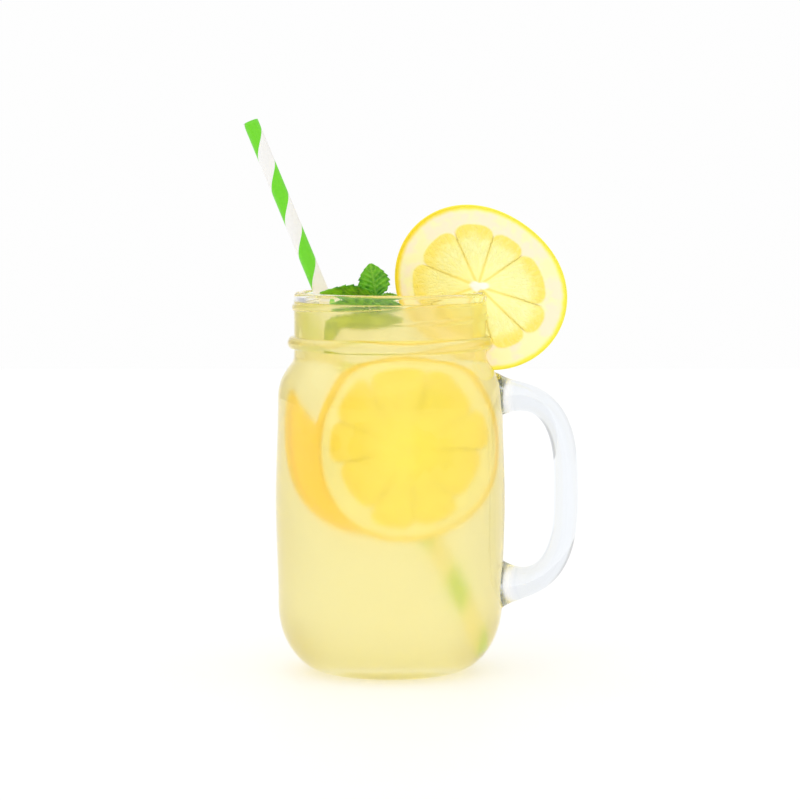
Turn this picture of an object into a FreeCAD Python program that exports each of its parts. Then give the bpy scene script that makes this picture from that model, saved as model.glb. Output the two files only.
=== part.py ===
"""A glass jar mug of lemonade, with a paper straw, a lemon slice on its rim and a mint sprig.

The origin is the centre of the ring that the jar stands on, and +Z is up. The handle and the
lemon slice are on the +X side, and the straw leans towards -X. All sizes are in millimetres.
"""
import FreeCAD
import Part
import math
import os

from FreeCAD import Matrix, Vector

# ---------------------------------------------------------------- the jar's own sizes
BODY_HEIGHT = 111.5        # from the table to the foot of the neck
NECK_HEIGHT = 22.5         # from the foot of the neck to the lip
BODY_RADIUS = 39.6         # outside, above the heel and below the shoulder
BELLY_SWELL = 0.9          # how far the side bulges between them
BODY_WALL = 3.5
NECK_RADIUS = 33.8         # outside, between the bead and the threads
NECK_WALL = 3.6
FLOOR_THICKNESS = 5.6      # glass under the drink, at the middle

FOOT_RADIUS = 22.0         # the outer edge of the flat ring that the jar stands on
FOOT_RING_WIDTH = 4.0
PUNT_DEPTH = 0.8           # how far the middle of the base is pushed up
PUNT_SLOPE = 3.0
HEEL_HEIGHT = 24.0         # where the rounded heel ends
SHOULDER_DROP = 16.0       # from the foot of the neck down to the start of the shoulder
INNER_FLOOR_RADIUS = 20.0  # the flat middle of the floor inside

BEAD_BELOW_LIP = 17.8      # the round bead under the threads
BEAD_HALF_HEIGHT = 2.4
BEAD_DEPTH = 2.3
LIP_ROUNDING = 1.5

THREAD_BELOW_LIP = 10.2    # the thread's lower end
THREAD_START = -102.0      # degrees from +X
THREAD_TURNS = 1.1
THREAD_PITCH = 6.0
THREAD_DEPTH = 0.7
THREAD_HALF_HEIGHT = 1.25
THREAD_FADE = 50.0         # degrees over which each end of the thread fades into the neck
THREAD_STATIONS = 40

# ---------------------------------------------------------------- the handle
HANDLE_TOP_DROP = 14.1     # from the foot of the neck down to the middle of the upper root
HANDLE_FOOT_HEIGHT = 30.6  # from the table to the middle of the lower root
HANDLE_REACH = 22.6        # from the jar's side to the middle of the grip
HANDLE_SQUARENESS = 2.85   # 2 is an ellipse, more is squarer
GRIP_HALF_THICKNESS = 4.15
GRIP_HALF_WIDTH = 6.6
UPPER_ROOT_FLARE = 2.7     # extra half thickness where the handle meets the jar
LOWER_ROOT_FLARE = 4.3
ROOT_WIDENING = 1.6
FLARE_LENGTH = 6.3
HANDLE_STATIONS = 17

# ---------------------------------------------------------------- what is in and on the jar
LEVEL_BELOW_LIP = 4.2      # the drink's surface
FILL_CLEARANCE = 0.2       # drink to glass
SEAT_CLEARANCE = 0.3       # between things that rest on each other

STRAW_RADIUS = 2.75
STRAW_WALL = 0.45
STRAW_LENGTH = 201.5
STRAW_FOOT_FORWARD = 4.0   # how far the foot is to -Y
STRAW_FOOT_RISE = 3.4      # the foot rests on the curve of the heel, above the flat floor
STRAW_LEAN_ANGLE = 154.0   # where the straw leans on the lip, in degrees from +X

SLICE_RADIUS = 29.4
SLICE_OVALNESS = 0.075     # longer one way than the other, as a share of the radius
SLICE_LONG_AXIS = 143.5    # degrees from +X, in the slice's own plane
SLICE_LOPSIDEDNESS = 0.006
SLICE_THICKNESS = 5.0
SLICE_HANG = 27.4          # how far its lower edge hangs below the lip
SLICE_OUTWARD = 1.6        # the slice's middle outside the mouth's radius
SLICE_OUTLINE_POINTS = 24

LEAF_THICKNESS = 0.9
LEAF_TEETH = 7             # on each edge of a leaf
TOOTH_DEPTH = 0.45
LEAF_BROAD_END = 0.8       # under 1, a leaf is broadest nearer to its stem
LEAF_FULLNESS = 0.75       # under 1, its sides are rounder than a sine curve
STEM_RADIUS = 1.1
STEM_LENGTH = 13.0         # under the surface
KNUCKLE_EXTRA = 0.4        # how much thicker the stem is where the leaves meet
SPRIG_TO_SLICE = 8.0       # from the slice's front to the middle of the stem
LEAF_TO_WALL = 3.3         # from the lying leaf's tip to the inside of the neck
LEAVES = [                 # one lies over the drink, one stands up, one leans back
    {"length": 19.7, "width": 11.5, "cup": 14.0, "roll": 24, "pitch": 5, "heading": 185},
    {"length": 12.0, "width": 9.8, "cup": 13.0, "roll": 84, "pitch": 80, "heading": 180},
    {"length": 7.4, "width": 6.5, "cup": 9.0, "roll": -8, "pitch": 6, "heading": 12},
]
SPRIG_RISE = 2.5           # the leaves' meeting point above the surface

# ---------------------------------------------------------------- places that follow from them
JAR_HEIGHT = BODY_HEIGHT + NECK_HEIGHT
MOUTH_RADIUS = NECK_RADIUS - NECK_WALL
SHOULDER_START = BODY_HEIGHT - SHOULDER_DROP
DRINK_LEVEL = JAR_HEIGHT - LEVEL_BELOW_LIP
QUARTER_ROUND = 0.5523     # the length of a Bezier handle that makes a quarter of an ellipse
ABOVE_THE_JAR = 20.0       # spare height for cutting tools
SEATING_ROUNDS = 8         # enough for the straw's seats to settle


def at(radius, height):
    """A point of an outline that is turned about the jar's axis."""
    return Vector(radius, 0, height)


def line(start, end):
    return Part.LineSegment(start, end).toShape()


def bezier(*poles):
    curve = Part.BezierCurve()
    curve.setPoles(list(poles))
    return curve.toShape()


def turned(edges):
    """The solid that a closed outline sweeps about the jar's axis."""
    face = Part.Face(Part.Wire(edges))
    return face.revolve(Vector(0, 0, 0), Vector(0, 0, 1), 360)


def heel(foot, top):
    """A quarter round from a level foot to an upright side."""
    reach = QUARTER_ROUND * (top.x - foot.x)
    rise = QUARTER_ROUND * (top.z - foot.z)
    return bezier(foot, foot + Vector(reach, 0, 0), top - Vector(0, 0, rise), top)


def side(bottom, top):
    """The body's side, upright at both ends and swollen between them."""
    middle = (bottom + top) * 0.5 + Vector(BELLY_SWELL, 0, 0)
    curve = Part.BSplineCurve()
    curve.interpolate(
        Points=[bottom, middle, top],
        InitialTangent=Vector(0, 0, 1),
        FinalTangent=Vector(0, 0, 1),
    )
    return curve.toShape()


def shoulder(bottom, top):
    """A full shoulder that turns tightly into the neck."""
    rise = top.z - bottom.z
    return bezier(bottom, bottom + Vector(0, 0, 0.7 * rise), top - Vector(0, 0, 0.25 * rise), top)


def arc(start, middle, end):
    return Part.Arc(start, middle, end).toShape()


def quarter_arc(start, corner, end):
    """A quarter circle from start to end, rounding the corner between them."""
    centre = start + end - corner
    return arc(start, centre + (corner - centre) * math.sqrt(0.5), end)


def jar_outside(grow=0.0):
    """The jar's outside as a full solid, without its handle and thread."""
    neck = NECK_RADIUS + grow
    body = BODY_RADIUS + grow
    top = JAR_HEIGHT + grow
    bead = JAR_HEIGHT - BEAD_BELOW_LIP
    bead_half = BEAD_HALF_HEIGHT + grow
    foot_inside = FOOT_RADIUS - FOOT_RING_WIDTH
    punt_edge = foot_inside - PUNT_SLOPE
    rounding = LIP_ROUNDING

    heel_top = at(body, HEEL_HEIGHT)
    shoulder_start = at(body, SHOULDER_START)
    neck_foot = at(neck, BODY_HEIGHT)
    bead_bottom = at(neck, bead - bead_half)
    bead_top = at(neck, bead + bead_half)
    lip_side = at(neck, top - rounding)
    lip_top = at(neck - rounding, top)
    return turned([
        line(at(0, PUNT_DEPTH), at(punt_edge, PUNT_DEPTH)),
        line(at(punt_edge, PUNT_DEPTH), at(foot_inside, 0)),
        line(at(foot_inside, 0), at(FOOT_RADIUS, 0)),
        heel(at(FOOT_RADIUS, 0), heel_top),
        side(heel_top, shoulder_start),
        shoulder(shoulder_start, neck_foot),
        line(neck_foot, bead_bottom),
        arc(bead_bottom, at(neck + BEAD_DEPTH, bead), bead_top),
        line(bead_top, lip_side),
        quarter_arc(lip_side, at(neck, top), lip_top),
        line(lip_top, at(0, top)),
        line(at(0, top), at(0, PUNT_DEPTH)),
    ])


def jar_inside(shrink, top_height, flared):
    """The space inside the jar up to a height, smaller by shrink all round."""
    body = BODY_RADIUS - BODY_WALL - shrink
    mouth = MOUTH_RADIUS - shrink
    floor = FLOOR_THICKNESS + shrink
    floor_edge = at(INNER_FLOOR_RADIUS, floor)
    heel_top = at(body, HEEL_HEIGHT)
    shoulder_start = at(body, SHOULDER_START - BODY_WALL / 2)
    neck_foot = at(mouth, BODY_HEIGHT - BODY_WALL / 2)
    edges = [
        line(at(0, floor), floor_edge),
        heel(floor_edge, heel_top),
        side(heel_top, shoulder_start),
        shoulder(shoulder_start, neck_foot),
    ]
    if flared:
        lip_side = at(mouth, JAR_HEIGHT - LIP_ROUNDING)
        lip_top = at(mouth + LIP_ROUNDING, JAR_HEIGHT)
        edges += [
            line(neck_foot, lip_side),
            quarter_arc(lip_side, at(mouth, JAR_HEIGHT), lip_top),
            line(lip_top, at(lip_top.x, top_height)),
        ]
        top_edge = at(lip_top.x, top_height)
    else:
        top_edge = at(mouth, top_height)
        edges.append(line(neck_foot, top_edge))
    edges += [
        line(top_edge, at(0, top_height)),
        line(at(0, top_height), at(0, floor)),
    ]
    return turned(edges)


def oval(centre, across, deep, half_across, half_deep):
    """An ellipse with its half sizes along two directions at right angles."""
    u = across.normalize() * half_across
    v = deep.normalize() * half_deep
    w = u.cross(v).normalize()
    frame = Matrix(
        u.x, v.x, w.x, centre.x,
        u.y, v.y, w.y, centre.y,
        u.z, v.z, w.z, centre.z,
        0, 0, 0, 1,
    )
    circle = Part.Wire(Part.makeCircle(1))
    return circle.transformGeometry(frame)


def signed_power(value, exponent):
    return math.copysign(abs(value) ** exponent, value)


def handle():
    """A D-shaped handle, thickest where it meets the jar.

    Its middle line is a superellipse, from a straight stub inside the wall, out and down to the
    grip and back to a stub inside the wall.
    """
    upper = BODY_HEIGHT - HANDLE_TOP_DROP
    lower = HANDLE_FOOT_HEIGHT
    half_span = (upper - lower) / 2
    middle = (upper + lower) / 2
    exponent = 2 / HANDLE_SQUARENESS
    stub = Vector(-2 * BODY_WALL, 0, 0)

    line_points = []
    for index in range(HANDLE_STATIONS):
        turn = math.pi * (0.5 - index / (HANDLE_STATIONS - 1))
        out = HANDLE_REACH * signed_power(math.cos(turn), exponent)
        up = half_span * signed_power(math.sin(turn), exponent)
        line_points.append(Vector(BODY_RADIUS + out, 0, middle + up))
    line_points = [line_points[0] + stub] + line_points + [line_points[-1] + stub]

    sections = []
    last = len(line_points) - 1
    for index, point in enumerate(line_points):
        before = line_points[max(index - 1, 0)]
        after = line_points[min(index + 1, last)]
        along = (after - before).normalize()
        outward = Vector(0, 1, 0).cross(along)
        near_root = math.exp(-max(point.x - BODY_RADIUS, 0) / FLARE_LENGTH)
        flare = UPPER_ROOT_FLARE if point.z > middle else LOWER_ROOT_FLARE
        sections.append(oval(
            point,
            outward,
            Vector(0, 1, 0),
            GRIP_HALF_THICKNESS + flare * near_root,
            GRIP_HALF_WIDTH + ROOT_WIDENING * near_root,
        ))
    return Part.makeLoft(sections, True)


def thread():
    """One right-handed turn and a bit, whose ends fade into the neck."""
    sections = []
    for index in range(THREAD_STATIONS):
        share = (index + 0.5) / THREAD_STATIONS
        angle = math.radians(THREAD_START + 360 * THREAD_TURNS * share)
        height = JAR_HEIGHT - THREAD_BELOW_LIP + THREAD_PITCH * THREAD_TURNS * share
        from_end = 360 * THREAD_TURNS * min(share, 1 - share)
        size = math.sqrt(min(1.0, from_end / THREAD_FADE))
        outward = Vector(math.cos(angle), math.sin(angle), 0)
        centre = outward * (NECK_RADIUS - THREAD_DEPTH * (1 - size)) + Vector(0, 0, height)
        sections.append(oval(
            centre,
            outward,
            Vector(0, 0, 1),
            THREAD_DEPTH * size,
            THREAD_HALF_HEIGHT * size,
        ))
    return Part.makeLoft(sections, True)


def jar():
    """The jar mug: body, neck, bead, thread and handle are one piece of glass."""
    solid = jar_outside().fuse(handle()).fuse(thread())
    return solid.cut(jar_inside(0, JAR_HEIGHT + ABOVE_THE_JAR, True))


def heel_radius(height):
    """The radius inside the jar at a height within its rounded heel."""
    body_inside = BODY_RADIUS - BODY_WALL
    drop = (HEEL_HEIGHT - height) / (HEEL_HEIGHT - FLOOR_THICKNESS)
    return INNER_FLOOR_RADIUS + (body_inside - INNER_FLOOR_RADIUS) * math.sqrt(1 - drop ** 2)


def straw_line():
    """The middle of the straw's foot, and its direction up past the lip.

    The foot rests on the curve of the heel, and the straw leans on the inside of the lip. Both
    seats depend on how much it leans, so they are worked out in a few rounds.
    """
    angle = math.radians(STRAW_LEAN_ANGLE)
    foot = Vector(INNER_FLOOR_RADIUS, -STRAW_FOOT_FORWARD, FLOOR_THICKNESS + STRAW_FOOT_RISE)
    direction = Vector(0, 0, 1)
    for _ in range(SEATING_ROUNDS):
        lip_reach = MOUTH_RADIUS - SEAT_CLEARANCE - STRAW_RADIUS / direction.z
        lip_point = Vector(
            lip_reach * math.cos(angle),
            lip_reach * math.sin(angle),
            JAR_HEIGHT - LIP_ROUNDING,
        )
        direction = (lip_point - foot).normalize()
        corner_height = foot.z + STRAW_RADIUS * math.sqrt(1 - direction.z ** 2)
        foot_reach = heel_radius(corner_height) - SEAT_CLEARANCE - STRAW_RADIUS * direction.z
        foot.x = math.sqrt(foot_reach ** 2 - foot.y ** 2)
    return foot, direction


def straw(radius, extra=0.0):
    foot, direction = straw_line()
    return Part.makeCylinder(
        radius,
        STRAW_LENGTH + 2 * extra,
        foot - direction * extra,
        direction,
    )


def paper_straw():
    return straw(STRAW_RADIUS).cut(straw(STRAW_RADIUS - STRAW_WALL, 1.0))


def slice_radius(angle):
    """The slice's outline: a little longer one way, and a little lopsided."""
    long_axis = math.radians(SLICE_LONG_AXIS)
    oval_part = SLICE_OVALNESS * math.cos(2 * (angle - long_axis))
    lopsided_part = SLICE_LOPSIDEDNESS * math.cos(3 * angle)
    return SLICE_RADIUS * (1 + oval_part + lopsided_part)


def slice_disc(grow=0.0):
    """The whole slice, upright, with its flat sides to the front and back."""
    lowest = slice_radius(-math.pi / 2)
    centre = Vector(MOUTH_RADIUS + SLICE_OUTWARD, 0, JAR_HEIGHT - SLICE_HANG + lowest)
    front = -(SLICE_THICKNESS / 2 + grow)
    points = []
    for index in range(SLICE_OUTLINE_POINTS):
        angle = 2 * math.pi * index / SLICE_OUTLINE_POINTS
        radius = slice_radius(angle) + grow
        spoke = Vector(math.cos(angle), 0, math.sin(angle)) * radius
        points.append(centre + spoke + Vector(0, front, 0))
    outline = Part.BSplineCurve()
    outline.interpolate(Points=points, PeriodicFlag=True)
    face = Part.Face(Part.Wire(outline.toShape()))
    return face.extrude(Vector(0, SLICE_THICKNESS + 2 * grow, 0))


def wall_envelope():
    """The room that the slice's slit leaves round the jar's wall, with its bead and thread."""
    bead = JAR_HEIGHT - BEAD_BELOW_LIP
    thread_top = JAR_HEIGHT - THREAD_BELOW_LIP + THREAD_PITCH * THREAD_TURNS + THREAD_HALF_HEIGHT
    thread_sleeve = Part.makeCylinder(
        NECK_RADIUS + THREAD_DEPTH + SEAT_CLEARANCE,
        thread_top + SEAT_CLEARANCE - bead,
        Vector(0, 0, bead),
    )
    bore = Part.makeCylinder(
        MOUTH_RADIUS - SEAT_CLEARANCE,
        NECK_HEIGHT + ABOVE_THE_JAR,
        Vector(0, 0, BODY_HEIGHT),
    )
    inside = jar_inside(SEAT_CLEARANCE, BODY_HEIGHT + SEAT_CLEARANCE, False)
    return jar_outside(SEAT_CLEARANCE).fuse(thread_sleeve).cut(bore).cut(inside)


def lemon_slice():
    """The slice hangs on the lip by a slit cut up from its edge to just past its middle."""
    return slice_disc().cut(wall_envelope())


def leaf_outline(length, width):
    """The toothed outline of a flat leaf: broad near the stem, pointed at its tip."""
    steps = 2 * LEAF_TEETH
    edge = []
    for index in range(1, steps):
        share = index / steps
        half = width / 2 * math.sin(math.pi * share ** LEAF_BROAD_END) ** LEAF_FULLNESS
        tooth = TOOTH_DEPTH if index % 2 else 0.0
        edge.append((share * length, half + tooth))
    outward = [Vector(along, -half, 0) for along, half in edge]
    back = [Vector(along, half, 0) for along, half in reversed(edge)]
    base = Vector(0, 0, 0)
    return [base] + outward + [Vector(length, 0, 0)] + back + [base]


def leaf(length, width, cup):
    """A leaf that starts at the origin, runs along +X, and is cupped across about +Z.

    cup is the radius of the trough that the leaf's surface follows.
    """
    prism = Part.Face(Part.makePolygon(leaf_outline(length, width)))
    prism = prism.extrude(Vector(0, 0, cup))
    start = Vector(-length, 0, cup)
    along = Vector(1, 0, 0)
    trough = Part.makeCylinder(cup, 3 * length, start, along)
    hollow = Part.makeCylinder(cup - LEAF_THICKNESS, 3 * length, start, along)
    return prism.common(trough.cut(hollow))


def placed(shape, roll, pitch, heading, position):
    """Roll a leaf about its length, raise its tip, turn it to a heading and put it in place."""
    turn = FreeCAD.Rotation(heading, -pitch, roll)
    moved = shape.copy()
    moved.Placement = FreeCAD.Placement(position, turn)
    return moved


def sprig_place():
    """Where the stem passes through the surface.

    It stands in front of the slice, with the lying leaf's tip near the inside of the neck.
    """
    lying = LEAVES[0]
    heading = math.radians(lying["heading"])
    reach = lying["length"] * math.cos(math.radians(lying["pitch"]))
    y = -(SLICE_THICKNESS / 2 + SPRIG_TO_SLICE)
    tip_y = y + reach * math.sin(heading)
    tip_x = LEAF_TO_WALL - math.sqrt(MOUTH_RADIUS ** 2 - tip_y ** 2)
    return tip_x - reach * math.cos(heading), y


def mint_sprig():
    """A short stem that floats in the drink, with its leaves meeting just above the surface."""
    x, y = sprig_place()
    joint = Vector(x, y, DRINK_LEVEL + SPRIG_RISE)
    stem = Part.makeCylinder(
        STEM_RADIUS,
        STEM_LENGTH + SPRIG_RISE,
        Vector(x, y, DRINK_LEVEL - STEM_LENGTH),
    )
    sprig = stem.fuse(Part.makeSphere(STEM_RADIUS + KNUCKLE_EXTRA, joint))
    for one in LEAVES:
        blade = leaf(one["length"], one["width"], one["cup"])
        sprig = sprig.fuse(placed(blade, one["roll"], one["pitch"], one["heading"], joint))
    return sprig


def drink():
    """The lemonade up to its level, cut round the straw, the slice and the mint's stem."""
    shape = jar_inside(FILL_CLEARANCE, DRINK_LEVEL, False)
    shape = shape.cut(straw(STRAW_RADIUS + SEAT_CLEARANCE, SEAT_CLEARANCE))
    shape = shape.cut(slice_disc(SEAT_CLEARANCE))
    x, y = sprig_place()
    bore = Part.makeCylinder(
        STEM_RADIUS + SEAT_CLEARANCE,
        STEM_LENGTH + ABOVE_THE_JAR,
        Vector(x, y, DRINK_LEVEL - STEM_LENGTH - SEAT_CLEARANCE),
    )
    return shape.cut(bore)


def save(name, shape):
    """Write one piece, and say how many solids it has and its volume in cubic centimetres."""
    print(name, len(shape.Solids), "solid", shape.isValid(), round(shape.Volume / 1000, 2), "cm3")
    shape.exportStep("parts/" + name + ".step")


os.makedirs("parts", exist_ok=True)
save("jar", jar())
save("drink", drink())
save("straw", paper_straw())
save("lemon_slice", lemon_slice())
save("mint_sprig", mint_sprig())
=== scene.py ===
# %% [markdown]
# # A jar mug of lemonade
#
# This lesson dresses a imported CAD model: a glass jar mug with a handle, full of cloudy yellow
# lemonade, with a striped paper straw, a lemon slice on its rim and a sprig of mint. The CAD model
# gives the jar and the places of what is in it. Everything is in metres.

# %% Load the frame
import math

import bmesh
import bpy
import numpy as np
from mathutils import Matrix, Vector


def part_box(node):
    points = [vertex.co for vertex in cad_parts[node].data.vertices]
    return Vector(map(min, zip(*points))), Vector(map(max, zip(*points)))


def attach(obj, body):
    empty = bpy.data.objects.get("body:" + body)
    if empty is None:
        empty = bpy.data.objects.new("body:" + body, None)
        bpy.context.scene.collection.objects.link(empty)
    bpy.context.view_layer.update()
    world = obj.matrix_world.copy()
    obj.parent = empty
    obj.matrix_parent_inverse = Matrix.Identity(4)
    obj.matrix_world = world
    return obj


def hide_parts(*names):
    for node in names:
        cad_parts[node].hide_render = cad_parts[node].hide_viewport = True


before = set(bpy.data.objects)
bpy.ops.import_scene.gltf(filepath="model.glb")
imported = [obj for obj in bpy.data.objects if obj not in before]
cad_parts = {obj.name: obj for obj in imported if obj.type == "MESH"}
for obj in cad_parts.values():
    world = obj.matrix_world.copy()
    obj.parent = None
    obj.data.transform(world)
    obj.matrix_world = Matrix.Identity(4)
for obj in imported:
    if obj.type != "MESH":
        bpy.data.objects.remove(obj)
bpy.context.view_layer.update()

MM = 0.001
LIP_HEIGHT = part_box("jar")[1].z
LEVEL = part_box("drink")[1].z
print("lip at", round(LIP_HEIGHT / MM, 1), "mm, drink up to", round(LEVEL / MM, 1), "mm")

# %% [markdown]
# ## Writing shaders as sums
#
# A pattern is a sum: a mask times one colour plus the rest times another. Drawn by hand it takes
# a web of Math nodes. Here a socket is wrapped in a small class, so that `1 - mask` or
# `mask * 0.5` adds those nodes by itself. Any other node comes from one method, `node`, which
# takes the node's type, its settings, and a value or a link for each socket.


# %% A socket that can be used in sums
class Value:
    """A number socket. Each operation on it adds one Math node."""

    def __init__(self, nodes, socket):
        self.nodes = nodes
        self.socket = socket

    def maths(self, operation, *numbers):
        made = self.nodes.node("Math", {"operation": operation})
        for socket, number in zip(made.inputs, numbers):
            self.nodes.plug(socket, number)
        return Value(self.nodes, made.outputs[0])

    def __add__(self, other):
        return self.maths("ADD", self, other)

    def __radd__(self, other):
        return self.maths("ADD", other, self)

    def __sub__(self, other):
        return self.maths("SUBTRACT", self, other)

    def __rsub__(self, other):
        return self.maths("SUBTRACT", other, self)

    def __mul__(self, other):
        return self.maths("MULTIPLY", self, other)

    def __rmul__(self, other):
        return self.maths("MULTIPLY", other, self)

    def __abs__(self):
        return self.maths("ABSOLUTE", self)

    def sine(self):
        return self.maths("SINE", self)

    def cosine(self):
        return self.maths("COSINE", self)

    def between(self, low, high):
        """0 at low, 1 at high, and smooth between them."""
        made = self.nodes.node(
            "MapRange",
            {"interpolation_type": "SMOOTHSTEP"},
            Value=self, From_Min=low, From_Max=high,
        )
        return Value(self.nodes, made.outputs["Result"])


# %% A tree of nodes
class Nodes:
    """A node tree, and the one way in which nodes are added to it."""

    def __init__(self, tree, family):
        self.tree = tree
        self.family = family

    def plug(self, socket, value):
        """Links a socket to another one, or sets it to a plain value."""
        if isinstance(value, Value):
            value = value.socket
        if isinstance(value, bpy.types.NodeSocket):
            self.tree.links.new(value, socket)
        else:
            socket.default_value = value

    def node(self, kind, settings=None, **sockets):
        """A node with its settings made first. A socket goes by its name or its identifier."""
        made = self.tree.nodes.new(self.family + kind)
        for key, value in (settings or {}).items():
            setattr(made, key, value)
        for key, value in sockets.items():
            named = key.replace("_", " ")
            match = [s for s in made.inputs if s.identifier == key or s.name == named]
            self.plug(match[0], value)
        return made


# %% A material
def linear(red, green, blue):
    """A colour as a screen shows it, 0 to 255, as the linear values that shaders use."""
    channels = []
    for shown in (red, green, blue):
        share = shown / 255
        channels.append(share / 12.92 if share <= 0.04045 else ((share + 0.055) / 1.055) ** 2.4)
    return (*channels, 1.0)


class Finish(Nodes):
    """A material whose Principled shader is fed from nodes."""

    def __init__(self, name):
        self.material = bpy.data.materials.new(name)
        self.material.use_nodes = True
        super().__init__(self.material.node_tree, "ShaderNode")
        self.shader = self.tree.nodes["Principled BSDF"]
        self.output = self.tree.nodes["Material Output"]

    def mix(self, share, first, second):
        """A colour that goes from first to second as share goes from 0 to 1."""
        made = self.node(
            "Mix",
            {"data_type": "RGBA"},
            Factor_Float=share, A_Color=first, B_Color=second,
        )
        return next(s for s in made.outputs if s.identifier == "Result_Color")

    def attribute(self, name, output="Fac"):
        socket = self.node("Attribute", {"attribute_name": name}).outputs[output]
        return Value(self, socket) if output == "Fac" else socket

    def place(self):
        """Where a point is on the piece, in metres."""
        return self.node("TexCoord").outputs["Object"]

    def coordinate(self, axis):
        """How far a point is along X, Y or Z, in metres."""
        parts = self.node("SeparateXYZ", None, Vector=self.place())
        return Value(self, parts.outputs[axis])

    def noise(self, vector, scale, detail=2.0):
        made = self.node("TexNoise", None, Vector=vector, Scale=scale, Detail=detail)
        return Value(self, made.outputs["Fac"])

    def relief(self, height, depth, strength=1.0):
        """A bump as deep as depth, in metres, on the shader's Normal."""
        made = self.node("Bump", None, Height=height, Distance=depth, Strength=strength)
        self.plug(self.shader.inputs["Normal"], made.outputs["Normal"])

    def set(self, **sockets):
        for key, value in sockets.items():
            self.plug(self.shader.inputs[key.replace("_", " ")], value)


# %% [markdown]
# ## From numbers to pieces
#
# Most pieces here are grids: rows of points joined into squares, bent into a tube, a disc or a
# leaf. Two helpers are enough. One joins the grid's points, and one makes the finished object,
# which stays at the origin with its place in its mesh, as the CAD nodes have.


# %% Grids and pieces
SAME_POINT = 0.002 * MM


def grid_faces(rows, columns, closed):
    """Squares between rows of points, with the last column joined to the first if closed."""
    faces = []
    for row in range(rows - 1):
        for column in range(columns if closed else columns - 1):
            beside = (column + 1) % columns
            faces.append((
                row * columns + column,
                row * columns + beside,
                (row + 1) * columns + beside,
                (row + 1) * columns + column,
            ))
    return faces


def mesh_object(name, points, faces):
    mesh = bpy.data.meshes.new(name)
    mesh.from_pydata([tuple(point) for point in points], [], faces)
    mesh.update()
    made = bpy.data.objects.new(name, mesh)
    bpy.context.scene.collection.objects.link(made)
    return made


def settle(made):
    """Turns an object and its modifiers into a plain mesh."""
    graph = bpy.context.evaluated_depsgraph_get()
    mesh = bpy.data.meshes.new_from_object(made.evaluated_get(graph))
    made.modifiers.clear()
    made.data = mesh
    return made


def face_outwards(made):
    """Joins points that meet, then turns every face outwards."""
    work = bmesh.new()
    work.from_mesh(made.data)
    bmesh.ops.remove_doubles(work, verts=work.verts, dist=SAME_POINT)
    bmesh.ops.recalc_face_normals(work, faces=work.faces)
    work.to_mesh(made.data)
    work.free()


def finish_piece(made, finish, slot, *nodes):
    """Gives a piece its finish and its body, and hides the CAD nodes it stands for. The slot is not
    used.
    """
    made.data.polygons.foreach_set("use_smooth", [True] * len(made.data.polygons))
    if finish:
        made.data.materials.clear()
        made.data.materials.append(finish.material)
    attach(made, "root")
    if nodes:
        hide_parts(*nodes)
    print(made.name, len(made.data.polygons), "faces")


def write(mesh, name, values):
    """Stores one number for each point of a mesh, for its material to read."""
    layer = mesh.attributes.new(name, "FLOAT", "POINT")
    layer.data.foreach_set("value", np.asarray(values, dtype=np.float32))


def points_of(mesh):
    flat = np.empty(len(mesh.vertices) * 3, dtype=np.float32)
    mesh.vertices.foreach_get("co", flat)
    return flat.reshape(-1, 3).astype(float)


def smoothstep(values, low, high):
    """0 at low, 1 at high, and smooth between them, for many numbers at once."""
    share = np.clip((values - low) / (high - low), 0, 1)
    return share * share * (3 - 2 * share)


# %% [markdown]
# ## The glass
#
# The jar is one thick piece of pressed glass. Its CAD shape is right, so it stays, and only its
# material is made here. Clear glass is nearly invisible: what the eye reads is the bending at its
# edges, and a faint cool grey that deepens where light runs a long way inside the wall.
# That tint is absorption in the volume, not a colour on the surface. A shallow, slow bump stands
# for the waviness that pressing leaves. The handle is solid glass with only air behind it, so it
# has a trace of cool colour of its own to be seen by, and its two roots are a little rougher,
# where the hot glass was pressed on to the wall.

# %% Make the glass
WAVE_SCALE = 55.0           # slow waves, about 2 cm apart
WAVE_DEPTH = 0.10 * MM
GLASS_TINT = (0.73, 0.77, 0.79, 1.0)
GLASS_DENSITY = 5.5
WHITE = (1.0, 1.0, 1.0, 1.0)
HANDLE_COLOUR = linear(243, 246, 250)
HANDLE_FROM = 40.5 * MM     # where the handle's colour starts, out from the jar's axis
HANDLE_FULLY = 44.0 * MM
ROOT_ROUGHNESS = 0.3
ROOT_INSIDE = (38.0 * MM, 40.0 * MM)
ROOT_OUTSIDE = (41.0 * MM, 44.0 * MM)

glass = Finish("pressed_glass")
sideways = glass.coordinate("X")
on_handle = sideways.between(HANDLE_FROM, HANDLE_FULLY)
at_root = sideways.between(*ROOT_INSIDE) * (1 - sideways.between(*ROOT_OUTSIDE))
glass.set(
    Base_Color=glass.mix(on_handle, WHITE, HANDLE_COLOUR),
    Roughness=at_root * ROOT_ROUGHNESS,
    IOR=1.5,
    Transmission_Weight=1.0,
)
glass.relief(glass.noise(glass.place(), WAVE_SCALE, 1.0), WAVE_DEPTH)
body_of_glass = glass.node("VolumeAbsorption", None, Color=GLASS_TINT, Density=GLASS_DENSITY)
glass.plug(glass.output.inputs["Volume"], body_of_glass.outputs["Volume"])

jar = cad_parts["jar"]
jar.data.materials.clear()
jar.data.materials.append(glass.material)
print("glass on", jar.name)

# %% [markdown]
# ## The drink
#
# The drink's outside is the jar's inside, turned about the jar's axis. The CAD solid stops just
# short of the glass, and a renderer would show that gap as a silver film. So the drink is turned
# again here from the same curve, a fraction of a millimetre wider, and reaches into the wall.
# It isn't cut round the straw and the fruit, because a drink wets them with no gap either.
# Its surface climbs a little up the wall.

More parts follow.
